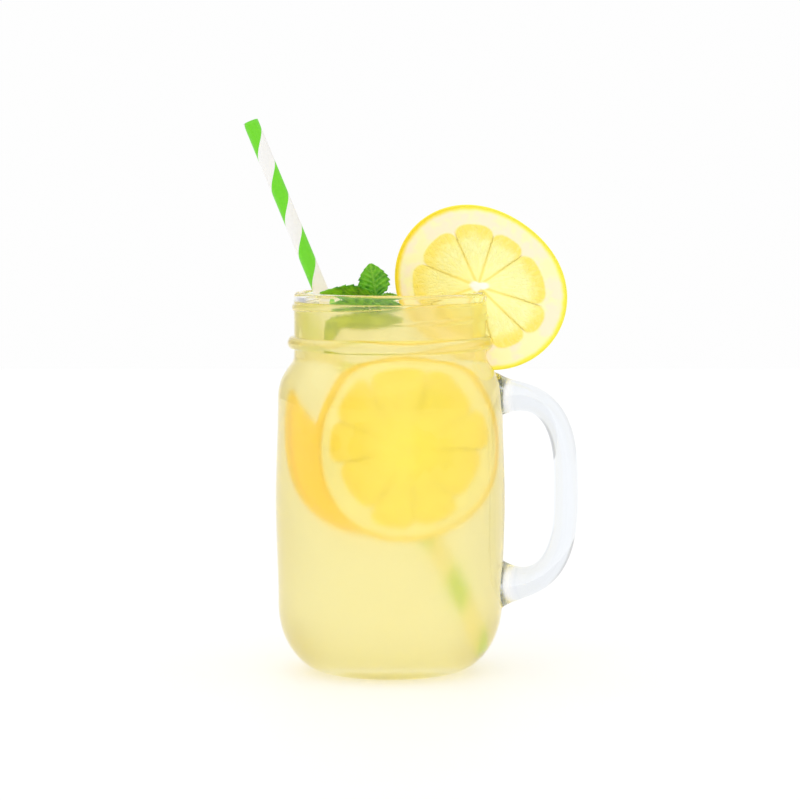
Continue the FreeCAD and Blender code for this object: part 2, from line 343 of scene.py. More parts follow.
# %% The inside of the jar as a curve
REACH_INTO_WALL = 0.2 * MM
FLOOR = 5.6 * MM
INNER_FLOOR_RADIUS = 20.0 * MM
INNER_BODY_RADIUS = 36.1 * MM
INNER_NECK_RADIUS = 30.2 * MM
BELLY_SWELL = 0.9 * MM
HEEL_TOP = 24.0 * MM
SHOULDER_START = 93.75 * MM
NECK_FOOT = 109.75 * MM
QUARTER_ROUND = 0.5523
CREEP_WIDTH = 1.3 * MM
CREEP_HEIGHT = 0.9 * MM
CREEP_REACH = 5.0 * MM
SHOULDER_SWING = 0.7        # how far up the shoulder the body's line keeps going
NECK_SWING = 0.25           # how far down the shoulder the neck's line starts


def bezier(a, b, c, d, steps):
    """Points along a cubic curve, without its first."""
    shares = np.linspace(0, 1, steps + 1)[1:, None]
    a, b, c, d = (np.array(p) for p in (a, b, c, d))
    return (
        a * (1 - shares) ** 3
        + 3 * b * shares * (1 - shares) ** 2
        + 3 * c * shares ** 2 * (1 - shares)
        + d * shares ** 3
    )


def shoulder(body, neck, bottom, top, steps):
    """The curve from the body's side in to the neck's side, without its first point."""
    rise = top - bottom
    return bezier(
        (body, bottom),
        (body, bottom + SHOULDER_SWING * rise),
        (neck, top - NECK_SWING * rise),
        (neck, top),
        steps,
    )


def surface_outline(neck):
    """The drink's surface, from where it climbs the wall to its middle."""
    from_wall = np.linspace(0, CREEP_REACH, 12)
    flat = np.linspace(neck - 1.4 * CREEP_REACH, 0, 8)
    climb = CREEP_HEIGHT * np.exp(-from_wall / CREEP_WIDTH)
    return np.column_stack([
        np.concatenate([neck - from_wall, flat]),
        LEVEL + np.concatenate([climb, np.zeros(len(flat))]),
    ])


def drink_outline(grow):
    """Radius and height from the middle of the floor, up the side and back over the surface."""
    body = INNER_BODY_RADIUS + grow
    neck = INNER_NECK_RADIUS + grow
    floor = FLOOR - grow
    reach = QUARTER_ROUND * (body - INNER_FLOOR_RADIUS)
    climb = QUARTER_ROUND * (HEEL_TOP - floor)
    heights = np.linspace(HEEL_TOP, SHOULDER_START, 30)[1:]
    share = (heights - HEEL_TOP) / (SHOULDER_START - HEEL_TOP)
    swell = body + BELLY_SWELL * np.sin(np.pi * share) ** 2
    return np.vstack([
        np.column_stack([np.linspace(0, INNER_FLOOR_RADIUS, 8), np.full(8, floor)]),
        bezier(
            (INNER_FLOOR_RADIUS, floor),
            (INNER_FLOOR_RADIUS + reach, floor),
            (body, HEEL_TOP - climb),
            (body, HEEL_TOP),
            20,
        ),
        np.column_stack([swell, heights]),
        shoulder(body, neck, SHOULDER_START, NECK_FOOT, 16),
        np.column_stack([np.full(7, neck), np.linspace(NECK_FOOT, LEVEL, 8)[1:]]),
        surface_outline(neck),
    ])


def turned(name, outline, turns):
    """The surface that an outline sweeps about the jar's axis."""
    angles = np.linspace(0, 2 * np.pi, turns, endpoint=False)
    points = [
        (radius * math.cos(angle), radius * math.sin(angle), height)
        for radius, height in outline
        for angle in angles
    ]
    made = mesh_object(name, points, grid_faces(len(outline), turns, True))
    face_outwards(made)
    return made


# %% [markdown]
# Cloudy lemonade is full of fine pulp: near things show soft edges, and far things melt away.
# Three things make that here. A thin scattering volume gives the pale haze. An absorbing volume
# takes out blue, so the drink is yellower the deeper it is. The blur would need a far denser
# scatter, which is slow and noisy, so it comes from a rough refracting surface: that softens
# what lies behind it more the deeper it lies. Only the top of the drink, which is open, is smooth.

# %% Make the drink
CLOUD_SCALE = 28.0
BLURRED_SIDE = 0.38         # roughness where the drink meets the glass
SMOOTH_TOP = 0.04
HAZE_COLOUR = (1.0, 0.97, 0.75, 1.0)
HAZE_DENSITY = 11.0
JUICE_COLOUR = (1.0, 0.885, 0.05, 1.0)
JUICE_DENSITY = 6.8

drink_finish = Finish("cloudy_lemonade")
clouds = drink_finish.noise(drink_finish.place(), CLOUD_SCALE)
at_top = drink_finish.coordinate("Z").between(LEVEL - 0.3 * MM, LEVEL - 0.1 * MM)
drink_finish.set(
    Base_Color=drink_finish.mix(clouds, linear(255, 252, 214), linear(255, 250, 204)),
    Roughness=BLURRED_SIDE - at_top * (BLURRED_SIDE - SMOOTH_TOP),
    IOR=1.33,
    Transmission_Weight=0.98,
)
pulp_haze = drink_finish.node(
    "VolumeScatter", None, Color=HAZE_COLOUR, Density=HAZE_DENSITY, Anisotropy=0.5,
)
juice = drink_finish.node("VolumeAbsorption", None, Color=JUICE_COLOUR, Density=JUICE_DENSITY)
body_of_drink = drink_finish.node("AddShader")
drink_finish.plug(body_of_drink.inputs[0], pulp_haze.outputs[0])
drink_finish.plug(body_of_drink.inputs[1], juice.outputs[0])
drink_finish.plug(drink_finish.output.inputs["Volume"], body_of_drink.outputs[0])

lemonade = turned("lemonade", drink_outline(REACH_INTO_WALL), 128)
finish_piece(lemonade, drink_finish, "lemonade", "drink")

# %% [markdown]
# ## The straw
#
# A paper straw is a strip wound into a tube, printed with a band that climbs as a helix. The tube
# follows a path, so Geometry Nodes makes it: a line, swept by a circle. Each point remembers how
# far up the straw it is and which way it faces. The band needs only those two facts, and it has
# no seam, because a sine doesn't care where a full turn starts.

# %% Find the straw's line from its box
STRAW_RADIUS = 2.75 * MM
STRAW_LENGTH = 201.5 * MM
straw_low, straw_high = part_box("straw")


def lean(size):
    """How far a tube of that radius and length leans along one side of its box, per metre."""
    share = size / STRAW_LENGTH
    for _ in range(20):
        share = (size - 2 * STRAW_RADIUS * math.sqrt(1 - share ** 2)) / STRAW_LENGTH
    return share


lean_x = -lean(straw_high.x - straw_low.x)
lean_y = lean(straw_high.y - straw_low.y)
along_straw = Vector((lean_x, lean_y, math.sqrt(1 - lean_x ** 2 - lean_y ** 2)))
straw_foot = Vector((
    straw_high.x - STRAW_RADIUS * math.sqrt(1 - lean_x ** 2),
    straw_low.y + STRAW_RADIUS * math.sqrt(1 - lean_y ** 2),
    straw_low.z + STRAW_RADIUS * math.sqrt(1 - along_straw.z ** 2),
))
straw_head = straw_foot + STRAW_LENGTH * along_straw
print("straw from", straw_foot / MM, "to", straw_head / MM)


# %% A tube that follows a line
class ShapeTree(Nodes):
    """A Geometry Nodes tree with named inputs."""

    def __init__(self, name):
        super().__init__(bpy.data.node_groups.new(name, "GeometryNodeTree"), "GeometryNode")
        self.tree.interface.new_socket(
            "Geometry", in_out="OUTPUT", socket_type="NodeSocketGeometry",
        )
        self.inputs = self.tree.nodes.new("NodeGroupInput")
        self.output = self.tree.nodes.new("NodeGroupOutput")
        self.identifiers = {}

    def input(self, name, kind):
        made = self.tree.interface.new_socket(
            name, in_out="INPUT", socket_type="NodeSocket" + kind,
        )
        self.identifiers[name] = made.identifier
        return next(s for s in self.inputs.outputs if s.identifier == made.identifier)

    def finish(self, geometry, finish):
        real = self.node("RealizeInstances", None, Geometry=geometry)
        dressed = self.node(
            "SetMaterial", None, Geometry=real.outputs[0], Material=finish.material,
        )
        self.plug(self.output.inputs[0], dressed.outputs[0])

    def make(self, name, **values):
        """An object that carries the tree as a modifier, with its inputs set."""
        made = mesh_object(name, [], [])
        modifier = made.modifiers.new("shape", "NODES")
        modifier.node_group = self.tree
        for key, value in values.items():
            modifier[self.identifiers[key.replace("_", " ")]] = value
        return made


WIND = 25.2 * MM            # how far up the straw one turn of the band climbs
BAND_START = 148.5 * MM     # where the band's middle faces the front, along the straw
PAPER_WALL = 0.45 * MM
PRINTED_FIBRES = 700.0      # paper fibres to a metre, printed and plain
PLAIN_FIBRES = 900.0
PALE_FROM = 70.0 * MM       # from here up, the straw's green is painted paler, a painted veil for the drink in front of it
PALE_FULLY = 105.0 * MM
front = Vector((0, -1, 0))
across_front = (front - front.project(along_straw)).normalized()
across_right = along_straw.cross(across_front)

printed = Finish("printed_paper")
paper = Finish("plain_paper")
up = printed.attribute("along")
facing_front = printed.attribute("facing_front")
facing_right = printed.attribute("facing_right")
turn = up * (2 * math.pi / WIND)
wave = turn.cosine() * facing_front + turn.sine() * facing_right
band = wave.between(-0.02, 0.02)
fibres = printed.noise(printed.place(), PRINTED_FIBRES, 3.0)
height = printed.coordinate("Z")
wet = 1 - height.between(LEVEL - 1 * MM, LEVEL + 1 * MM)
painted_veil = height.between(PALE_FROM, PALE_FULLY)
white = printed.mix(fibres, linear(243, 241, 238), linear(252, 251, 250))
green = printed.mix(fibres, linear(102, 214, 0), linear(118, 226, 8))
soaked_white = linear(255, 247, 196)
# Painted veil: below the level the green is painted paler from PALE_FROM up to PALE_FULLY, in place
# of the haze of drink in front of the straw.
soaked_green = printed.mix(painted_veil, linear(186, 228, 0), linear(222, 236, 104))
printed.set(
    Base_Color=printed.mix(
        band,
        printed.mix(wet, white, soaked_white),
        printed.mix(wet, green, soaked_green),
    ),
    Roughness=0.42,
    Coat_Weight=0.2,
    Coat_Roughness=0.25,
)
printed.relief(fibres * 0.3 + wave.between(-0.05, 0.0) * 0.7, 0.02 * MM)
paper_fibres = paper.noise(paper.place(), PLAIN_FIBRES, 3.0)
paper.set(
    Base_Color=paper.mix(paper_fibres, linear(232, 229, 222), linear(250, 248, 243)),
    Roughness=0.7,
)
paper.relief(paper_fibres, 0.05 * MM)


# %% Build the straw
def straw_tree():
    tree = ShapeTree("wound_straw")
    start = tree.input("Foot", "Vector")
    end = tree.input("Head", "Vector")
    radius = tree.input("Radius", "Float")
    path = tree.node("CurvePrimitiveLine", None, Start=start, End=end)
    even = tree.node("ResampleCurve", None, Curve=path.outputs[0], Count=160)
    ring = tree.node("CurvePrimitiveCircle", None, Resolution=48, Radius=radius)
    tube = tree.node(
        "CurveToMesh", None, Curve=even.outputs[0], Profile_Curve=ring.outputs[0],
    )
    tree.finish(tube.outputs[0], printed)
    return tree


straw = straw_tree().make("paper_straw", Foot=straw_foot, Head=straw_head, Radius=STRAW_RADIUS)
settle(straw)
straw.data.materials.append(paper.material)
wall = straw.modifiers.new("wall", "SOLIDIFY")
wall.thickness = PAPER_WALL
wall.offset = -1
wall.material_offset = 1
wall.material_offset_rim = 1
settle(straw)
from_foot = points_of(straw.data) - np.array(straw_foot)
distance = from_foot @ np.array(along_straw)
spoke = from_foot - distance[:, None] * np.array(along_straw)
spoke /= np.linalg.norm(spoke, axis=1)[:, None]
write(straw.data, "along", distance - BAND_START)
write(straw.data, "facing_front", spoke @ np.array(across_front))
write(straw.data, "facing_right", spoke @ np.array(across_right))
finish_piece(straw, None, "straw_paper", "straw")

# %% [markdown]
# ## Cut lemons
#
# A slice across a lemon is a wheel: a thin yellow peel with oil pores, a ring of white pith, and
# wedges of flesh between pale skins. The wheel is a fine disc whose points are lifted and lowered
# by the pattern, so that the wedges bulge, the skins lie in shallow grooves between them, and the
# pith lies lower. The same pattern is written on the points for the material. One function makes
# all the slices, because each differs only in its sizes, its wedges and its place.


# %% The pattern of a slice
CORE_WIDTH = 3.4 * MM
CORE_HEIGHT = 1.6 * MM
SKIN_WIDTH = 0.55 * MM
SKIN_BRIDGE = 0.5 * MM      # how far the flesh colour carries over a skin
CORNER = 5.5 * MM           # how far the outer ends of a wedge are rounded


class Slice:
    """The rule of one lemon wheel, in its own plane. Sizes are in metres, angles in degrees."""

    def __init__(
        self, radius, thickness, oval, long_axis, lopsided,
        skins, core, flesh_share, uneven, seed,
    ):
        self.radius = radius
        self.thickness = thickness
        self.oval = oval
        self.long_axis = math.radians(long_axis)
        self.lopsided = lopsided
        self.skins = np.radians(sorted(angle % 360 for angle in skins))
        self.core = core
        self.flesh_share = flesh_share
        self.depths = 1 - np.random.default_rng(seed).uniform(0, uneven, len(skins))

    def edge(self, angle):
        """How far out the peel is, at an angle in radians."""
        oval_part = self.oval * np.cos(2 * (angle - self.long_axis))
        return self.radius * (1 + oval_part + self.lopsided * np.cos(3 * angle))

    def measure(self, x, y):
        """How far each point is from the skins, the pith and the core, and which wedge it is in."""
        right, up = x - self.core[0], y - self.core[1]
        angle = np.arctan2(up, right)
        reach = np.hypot(right, up)
        after = np.mod(angle[:, None] - self.skins[None, :], 2 * np.pi)
        which = np.argmin(after, axis=1)
        past = after[np.arange(len(x)), which]
        before = np.mod(np.roll(self.skins, -1)[which] - angle, 2 * np.pi)
        share = np.hypot(x, y) / self.edge(np.arctan2(y, x))
        ragged = np.hypot(right / CORE_WIDTH, up / CORE_HEIGHT) - 0.2 * np.sin(3 * angle + 1)
        return {
            "to_skin": reach * np.sin(np.minimum(np.minimum(past, before), np.pi / 2)),
            "to_pith": (self.flesh_share * self.depths[which] - share) * self.radius,
            "which": which,
            "share": np.minimum(share, 1),
            "heart": 1 - smoothstep(ragged, 0.75, 1.2),
            "sideways": 0.5 + 0.5 * x / self.radius,
        }


def soft_least(first, second, width):
    """The smaller of two distances, rounded where they meet."""
    blend = np.clip(0.5 + 0.5 * (second - first) / width, 0, 1)
    return second * (1 - blend) + first * blend - width * blend * (1 - blend)


def pattern(rule, x, y):
    """The measures of each point, with how much it is flesh and how much it is skin."""
    found = rule.measure(x, y)
    inside = soft_least(found["to_skin"] + SKIN_BRIDGE, found["to_pith"], CORNER)
    found["inside"] = inside
    found["flesh"] = smoothstep(inside, -0.25 * MM, 0.45 * MM)
    found["skin_and_shade"] = np.exp(-(found["to_skin"] / SKIN_WIDTH) ** 2) * found["flesh"]
    return found


# %% The wheel as a mesh
PEEL_ROUND = 0.9 * MM
WEDGE_BULGE = 0.35 * MM
PITH_DROP = 0.8             # how far the pith lies under the flesh, as a share of the bulge
WEDGE_DOME = 0.5            # how far a wedge's middle stands over its edges, likewise
SIDE_LET_IN = 0.2           # how far a whole side is let in, likewise
DOME_WIDTH = 3.0 * MM
SKIN_GROOVE = 0.04 * MM
RIM_ROWS = 11
RING_CROWDING = 0.9         # below 1, rings lie closer together towards the peel
PEEL_SQUARENESS = 0.6       # below 1, the peel's outline is squarer than a half circle


def wheel(name, rule, rings, spokes):
    """A closed wheel round the origin, flat sides up and down."""
    angles = np.linspace(0, 2 * np.pi, spokes, endpoint=False)
    half = rule.thickness / 2
    shares = np.linspace(0, 1, rings + 1)[1:] ** RING_CROWDING
    inset = 1 - PEEL_ROUND / rule.radius
    flat = np.outer(shares * inset, rule.edge(angles))
    x = (flat * np.cos(angles)).ravel()
    y = (flat * np.sin(angles)).ravel()
    found = pattern(rule, x, y)
    lift = WEDGE_BULGE * (found["flesh"] - 1) * PITH_DROP
    lift += WEDGE_BULGE * WEDGE_DOME * smoothstep(found["inside"], 0, DOME_WIDTH)
    lift -= SKIN_GROOVE * found["skin_and_shade"] * (1 - found["heart"])
    top = np.column_stack([x, y, half + lift - WEDGE_BULGE * SIDE_LET_IN])
    bottom = np.column_stack([x, y, -(half + lift) + WEDGE_BULGE * SIDE_LET_IN])
    rim = []
    for step in np.linspace(0.5, -0.5, RIM_ROWS)[1:-1]:
        out = inset + (1 - inset) * math.cos(math.pi * step)
        height = half * math.copysign(abs(math.sin(math.pi * step)) ** PEEL_SQUARENESS, step)
        radius = rule.edge(angles) * out
        rim.append(np.column_stack([
            radius * np.cos(angles), radius * np.sin(angles), np.full(spokes, height),
        ]))
    rows = [top.reshape(rings, spokes, 3), np.array(rim), bottom.reshape(rings, spokes, 3)[::-1]]
    points = np.vstack([row.reshape(-1, 3) for row in rows])
    count = len(points) // spokes
    centre_top = np.array([[0, 0, half]])
    points = np.vstack([points, centre_top, -centre_top])
    faces = grid_faces(count, spokes, True)
    last = (count - 1) * spokes
    for column in range(spokes):
        beside = (column + 1) % spokes
        faces.append((column, len(points) - 2, beside))
        faces.append((last + column, last + beside, len(points) - 1))
    made = mesh_object(name, points, faces)
    face_outwards(made)
    return made


def cut_across(made, rule, rim_angle, line_angle):
    """Cuts a wheel along a line from a point of its rim, and keeps the part below the line."""
    work = bmesh.new()
    work.from_mesh(made.data)
    start = math.radians(rim_angle)
    along_cut = math.radians(line_angle)
    reach = float(rule.edge(start))
    everything = work.verts[:] + work.edges[:] + work.faces[:]
    bmesh.ops.bisect_plane(
        work, geom=everything,
        plane_co=(reach * math.cos(start), reach * math.sin(start), 0),
        plane_no=(math.sin(along_cut), -math.cos(along_cut), 0), clear_outer=True,
    )
    cut_edges = [edge for edge in work.edges if edge.is_boundary]
    cap = bmesh.ops.holes_fill(work, edges=cut_edges)["faces"]
    bmesh.ops.triangulate(work, faces=cap)
    bmesh.ops.recalc_face_normals(work, faces=work.faces)
    work.to_mesh(made.data)
    work.free()


def write_pattern(made, rule, to_plane):
    """Writes the pattern on the points, wherever a cut has put them."""
    local = points_of(made.data) @ np.array(to_plane.to_3x3()).T + np.array(to_plane.translation)
    found = pattern(rule, local[:, 0], local[:, 1])
    for name in ("flesh", "skin_and_shade", "heart", "share", "sideways"):
        write(made.data, name, found[name])
    write(made.data, "to_pith", found["to_pith"] / MM)
    write(made.data, "depth_in_peel", (1 - found["share"]) * rule.radius / MM)
    angle = np.arctan2(local[:, 1] - rule.core[1], local[:, 0] - rule.core[0])
    reach = np.hypot(local[:, 0] - rule.core[0], local[:, 1] - rule.core[1]) / MM
    layer = made.data.attributes.new("grain", "FLOAT_VECTOR", "POINT")
    grain = np.column_stack([
        np.cos(angle) * 9 + found["which"] * 3.1,
        np.sin(angle) * 9,
        reach * 0.28 + local[:, 2] / MM * 0.3,
    ])
    layer.data.foreach_set("vector", grain.astype(np.float32).ravel())


# %% The look of cut lemon
CELLS = 1.6                 # long juice cells, on the grain
FINE_CELLS = 5.0
PATCHES = 130.0             # this and the next three are how many there are to a metre
BLOTCHES = 150.0
SPECKLES = 380.0
PORES = 900.0
PORE_DEPTH = 0.35 * MM


def lemon_finish(name, painted_glow, shown):
    """Wet flesh with long juice cells, in a ring of matt pith and glossy peel, all glowing a little
    with painted light.
    """
    lemon = Finish(name)
    colours = {key: linear(*channels) for key, channels in shown.items()}
    flesh = lemon.attribute("flesh")
    depth = lemon.attribute("depth_in_peel")
    warm = 1 - lemon.attribute("sideways").between(0.05, 0.6)
    grain = lemon.attribute("grain", "Vector")
    cells = lemon.noise(grain, CELLS, 3.0)
    fine = lemon.noise(grain, FINE_CELLS)
    streak = (cells * 0.65 + fine * 0.35).between(0.38, 0.64)
    patches = lemon.noise(lemon.place(), PATCHES)
    near_pith = 1 - (lemon.attribute("to_pith") - patches * 5).between(-1.0, 4.0)
    # Towards the pith the flesh is a deeper yellow.
    wedge = lemon.mix(near_pith * (0.6 + streak * 0.4), colours["flesh"], colours["flesh_by_pith"])
    wedge = lemon.mix(streak * 0.45, wedge, colours["cells"])
    # Painted shade: along the skins the flesh is painted a darker yellow, where the wedges meet in
    # their grooves.
    wedge = lemon.mix(lemon.attribute("skin_and_shade") * 0.8, wedge, colours["skin_and_shade"])
    wedge = lemon.mix(warm * 0.4, wedge, colours["warm"])
    wedge = lemon.mix(lemon.attribute("heart"), wedge, colours["heart"])
    speckle = lemon.noise(lemon.place(), SPECKLES, 3.0)
    blotch = lemon.noise(lemon.place(), BLOTCHES).between(0.42, 0.62)
    ring = lemon.mix(blotch, colours["pith"], colours["blush"])
    peel = lemon.mix(warm, colours["peel"], colours["warm_peel"])
    rind = lemon.mix((depth + speckle * 0.8).between(1.2, 2.9), peel, ring)
    cut = lemon.mix(flesh, rind, wedge)
    lemon.set(
        Base_Color=cut,
        Roughness=0.62 - flesh * 0.36,
        IOR=1.36,
        # Painted light: the whole cut, peel and pith too, glows in its own colour, in place of
        # light passing through the slice.
        Emission_Color=cut,
        Emission_Strength=painted_glow,
    )
    pores = lemon.node(
        "TexVoronoi", {"feature": "SMOOTH_F1"}, Vector=lemon.place(), Scale=PORES,
    ).outputs["Distance"]
    pits = Value(lemon, pores).between(0.0, 0.5) * (1 - depth.between(0.0, 0.8))
    away_from_core = lemon.attribute("share").between(0.15, 0.5)
    lemon.relief(streak * flesh * away_from_core * 0.6 + pits, PORE_DEPTH)
    return lemon


rim_lemon = lemon_finish("lemon_on_the_rim", 0.10, {
    "peel": (250, 240, 78),
    "warm_peel": (252, 222, 46),
    "pith": (254, 246, 186),
    "blush": (253, 238, 205),
    "flesh": (255, 254, 180),
    "cells": (255, 246, 140),
    "flesh_by_pith": (252, 224, 70),
    "skin_and_shade": (253, 230, 110),
    "warm": (253, 228, 110),
    "heart": (255, 254, 246),
})

# %% [markdown]
# ### The slice on the rim
#
# It hangs on the lip by a slit cut from its edge to its middle. A Boolean cut with a tube as
# thick as the neck's wall, bead and thread makes that slit, and the pattern is written after
# the cut, so that the new points have it too.

# %% The room for the jar's wall
WALL_GAP = 0.06 * MM
NECK_OUTSIDE = 33.8 * MM
BODY_OUTSIDE = 39.6 * MM
OUTER_SHOULDER_START = 95.5 * MM
OUTER_NECK_FOOT = 111.5 * MM
LIP_ROUNDING = 1.5 * MM
BEAD_HEIGHT = 116.2 * MM
BEAD_ROUND = 2.4 * MM
THREAD_HEIGHT = 125.5 * MM  # where the thread passes behind the slice
THREAD_HALF = 1.25 * MM
THREAD_DEPTH = 0.7 * MM


def arc(radius, height, size, start, end):
    """Points of a round edge, from one angle to another in degrees."""
    angles = np.radians(np.linspace(start, end, 9))
    return np.column_stack([radius + size * np.cos(angles), height + size * np.sin(angles)])


def wall_outline(gap):
    """The outline of the jar's wall above its shoulder, wider by a gap on both sides."""
    inner = shoulder(INNER_BODY_RADIUS, INNER_NECK_RADIUS, SHOULDER_START, NECK_FOOT, 12)
    inner = inner - (gap, 0)
    outer = shoulder(BODY_OUTSIDE, NECK_OUTSIDE, OUTER_SHOULDER_START, OUTER_NECK_FOOT, 12)
    outer = outer + (gap, 0)
    lip = LIP_HEIGHT - LIP_ROUNDING
    proud = NECK_OUTSIDE + THREAD_DEPTH + gap
    side = NECK_OUTSIDE + gap
    return np.vstack([
        inner,
        arc(INNER_NECK_RADIUS + LIP_ROUNDING, lip, LIP_ROUNDING + gap, 180, 90),
        arc(NECK_OUTSIDE - LIP_ROUNDING, lip, LIP_ROUNDING + gap, 90, 0),
        [
            (side, THREAD_HEIGHT + THREAD_HALF + gap),
            (proud, THREAD_HEIGHT + 0.5 * THREAD_HALF),
            (proud, THREAD_HEIGHT - 0.5 * THREAD_HALF),
            (side, THREAD_HEIGHT - THREAD_HALF - gap),
        ],
        arc(NECK_OUTSIDE - 0.1 * MM, BEAD_HEIGHT, BEAD_ROUND + gap, 86, -86),
        outer[::-1],
        inner[:1],
    ])


# %% Cut the slice and hang it
SLICE_RADIUS = 29.4 * MM
SLICE_HANG = 27.4 * MM
SLICE_OUTWARD = 1.6 * MM

rim_rule = Slice(
    radius=SLICE_RADIUS, thickness=5.0 * MM, oval=0.075, long_axis=143.5, lopsided=0.006,
    skins=(158, 114, 73, 35, -17, -44, -76, -118, -160), core=(-1.0 * MM, 0.6 * MM),
    flesh_share=0.80, uneven=0.07, seed=4,
)
lowest = float(rim_rule.edge(-math.pi / 2))
rim_centre = Vector((
    INNER_NECK_RADIUS + SLICE_OUTWARD, 0, LIP_HEIGHT - SLICE_HANG + lowest,
))
stand_up = Matrix.Translation(rim_centre) @ Matrix.Rotation(math.pi / 2, 4, "X")
rim_slice = wheel("lemon_slice_on_rim", rim_rule, 72, 360)
rim_slice.data.transform(stand_up)

cutter = turned("wall_room", wall_outline(WALL_GAP), 256)
slit = rim_slice.modifiers.new("slit", "BOOLEAN")
slit.operation = "DIFFERENCE"
slit.solver = "EXACT"
slit.object = cutter
settle(rim_slice)
bpy.data.objects.remove(cutter)
write_pattern(rim_slice, rim_rule, stand_up.inverted())
finish_piece(rim_slice, rim_lemon, "lemon", "lemon_slice")

# %% [markdown]
# ### The slices in the drink
#
# Two more slices have sunk to the shoulder: a whole wheel against the front glass, and behind its
# left side a piece of a wheel, cut straight across. Seen through the jar they look wider than they
# are, because a full jar is a lens. They are the same wheel, in deeper yellows, because they have
# soaked and the drink washes their colours out.

# %% Sink two slices
soaked_lemon = lemon_finish("soaked_lemon", 0.14, {
    "peel": (255, 222, 10),
    "warm_peel": (255, 218, 0),
    "pith": (248, 242, 186),
    "blush": (243, 238, 184),
    "flesh": (255, 238, 80),
    "cells": (255, 244, 110),
    "flesh_by_pith": (255, 224, 0),
    "skin_and_shade": (255, 236, 60),
    "warm": (255, 222, 0),
    "heart": (252, 232, 80),
})
deep_lemon = lemon_finish("deeply_soaked_lemon", 0.12, {
    "peel": (255, 220, 0),
    "warm_peel": (255, 218, 0),
    "pith": (255, 228, 0),
    "blush": (255, 226, 0),
    "flesh": (255, 232, 0),
    "cells": (255, 234, 0),
    "flesh_by_pith": (255, 224, 0),
    "skin_and_shade": (255, 232, 0),
    "warm": (255, 224, 0),
    "heart": (255, 236, 30),
})
SUNK_THICKNESS = 4.2 * MM
SUNK_WEDGES = 9
# A cut starts at one angle of the rim and runs along another, both in degrees.
SUNK = [
    {
        "name": "sunk_slice_front", "finish": soaked_lemon,
        "centre": (5.0, -15.5, 80.6), "lean": 0, "heading": 16,
        "radius": 31.3, "oval": 0.024, "seed": 11, "cut": None,
    },
    {
        "name": "sunk_slice_back", "finish": deep_lemon,
        "centre": (-5.0, -3.6, 81.5), "lean": -12, "heading": 15,
        "radius": 30.6, "oval": 0.04, "seed": 23, "cut": (144, 124),
    },
]


def uneven_skins(seed):
    """Angles of the skins round a slice whose wedges differ in width."""
    widths = np.random.default_rng(seed).uniform(0.75, 1.25, SUNK_WEDGES)
    return np.cumsum(widths) / widths.sum() * 360


for one in SUNK:
    rule = Slice(
        radius=one["radius"] * MM, thickness=SUNK_THICKNESS, oval=one["oval"], long_axis=90,
        lopsided=0.01, skins=uneven_skins(one["seed"]), core=(0.5 * MM, -0.8 * MM),
        flesh_share=0.87, uneven=0.14, seed=one["seed"],
    )
    stand = (
        Matrix.Translation(Vector(one["centre"]) * MM)
        @ Matrix.Rotation(math.radians(one["heading"]), 4, "Z")
        @ Matrix.Rotation(math.pi / 2 + math.radians(one["lean"]), 4, "X")
    )
    made = wheel(one["name"], rule, 40, 200)
    if one["cut"]:
        cut_across(made, rule, *one["cut"])
    made.data.transform(stand)
    write_pattern(made, rule, stand.inverted())
    finish_piece(made, one["finish"], "lemon")

# %% [markdown]
# ## Mint
#
# A mint leaf is quilted: the skin swells between the veins, its edge is toothed, and it is cupped
# along its middle. A flat grid is shaped by those rules, one after another, and a Solidify
# modifier gives it thickness.

# %% One leaf
LEAF_WALL = 0.4 * MM
LEAF_VEINS = 7
VEIN_SLANT = 1.5            # how many veins further on a vein meets the leaf's edge
TOOTH = 0.9 * MM
TOOTH_LEAN = 0.25 * MM
VEIN_WIDTH = 0.32 * MM
MIDRIB_WIDTH = 0.45 * MM
QUILT_SWELL = 0.28 * MM
WRINKLE = 0.06 * MM


def leaf_mesh(length, width, cup):
    """Points of a leaf from the origin along +X, with how near each is to a vein."""
    rows, columns = 121, 41
    along = np.linspace(0, 1, rows)
    across = np.linspace(-1, 1, columns)
    share, side = np.meshgrid(along, across, indexing="ij")
    half = width / 2 * np.sin(np.pi * np.clip(share, 1e-4, 1) ** 0.8) ** 0.75
    teeth = np.mod(share * LEAF_VEINS, 1.0)
    tooth = TOOTH * (1 - teeth) * np.sin(np.pi * np.clip(share * 1.02, 0, 1)) ** 0.5
    y = side * (half + tooth * np.abs(side) ** 6)
    x = share * length + TOOTH_LEAN * np.abs(side) ** 6 * teeth
    reach = np.abs(y)
    cupped = cup - np.sqrt(np.maximum(cup ** 2 - reach ** 2, 0))
    vein_phase = share * LEAF_VEINS - np.abs(side) * VEIN_SLANT
    to_vein = np.abs(np.mod(vein_phase + 0.5, 1.0) - 0.5) * length / LEAF_VEINS
    lateral = np.exp(-(to_vein / VEIN_WIDTH) ** 2)
    midrib = np.exp(-(reach / MIDRIB_WIDTH) ** 2)
    vein = np.clip(np.maximum(lateral * 0.75, midrib), 0, 1)
    small = np.sin(share * length / MM * 2.9) * np.sin(y / MM * 3.1)
    quilt = (1 - vein) * QUILT_SWELL * (1 - np.abs(side) ** 4) + WRINKLE * small
    z = cupped + quilt
    points = np.stack([x, y, z], axis=-1).reshape(-1, 3)
    return points, vein.ravel(), share.ravel(), rows, columns


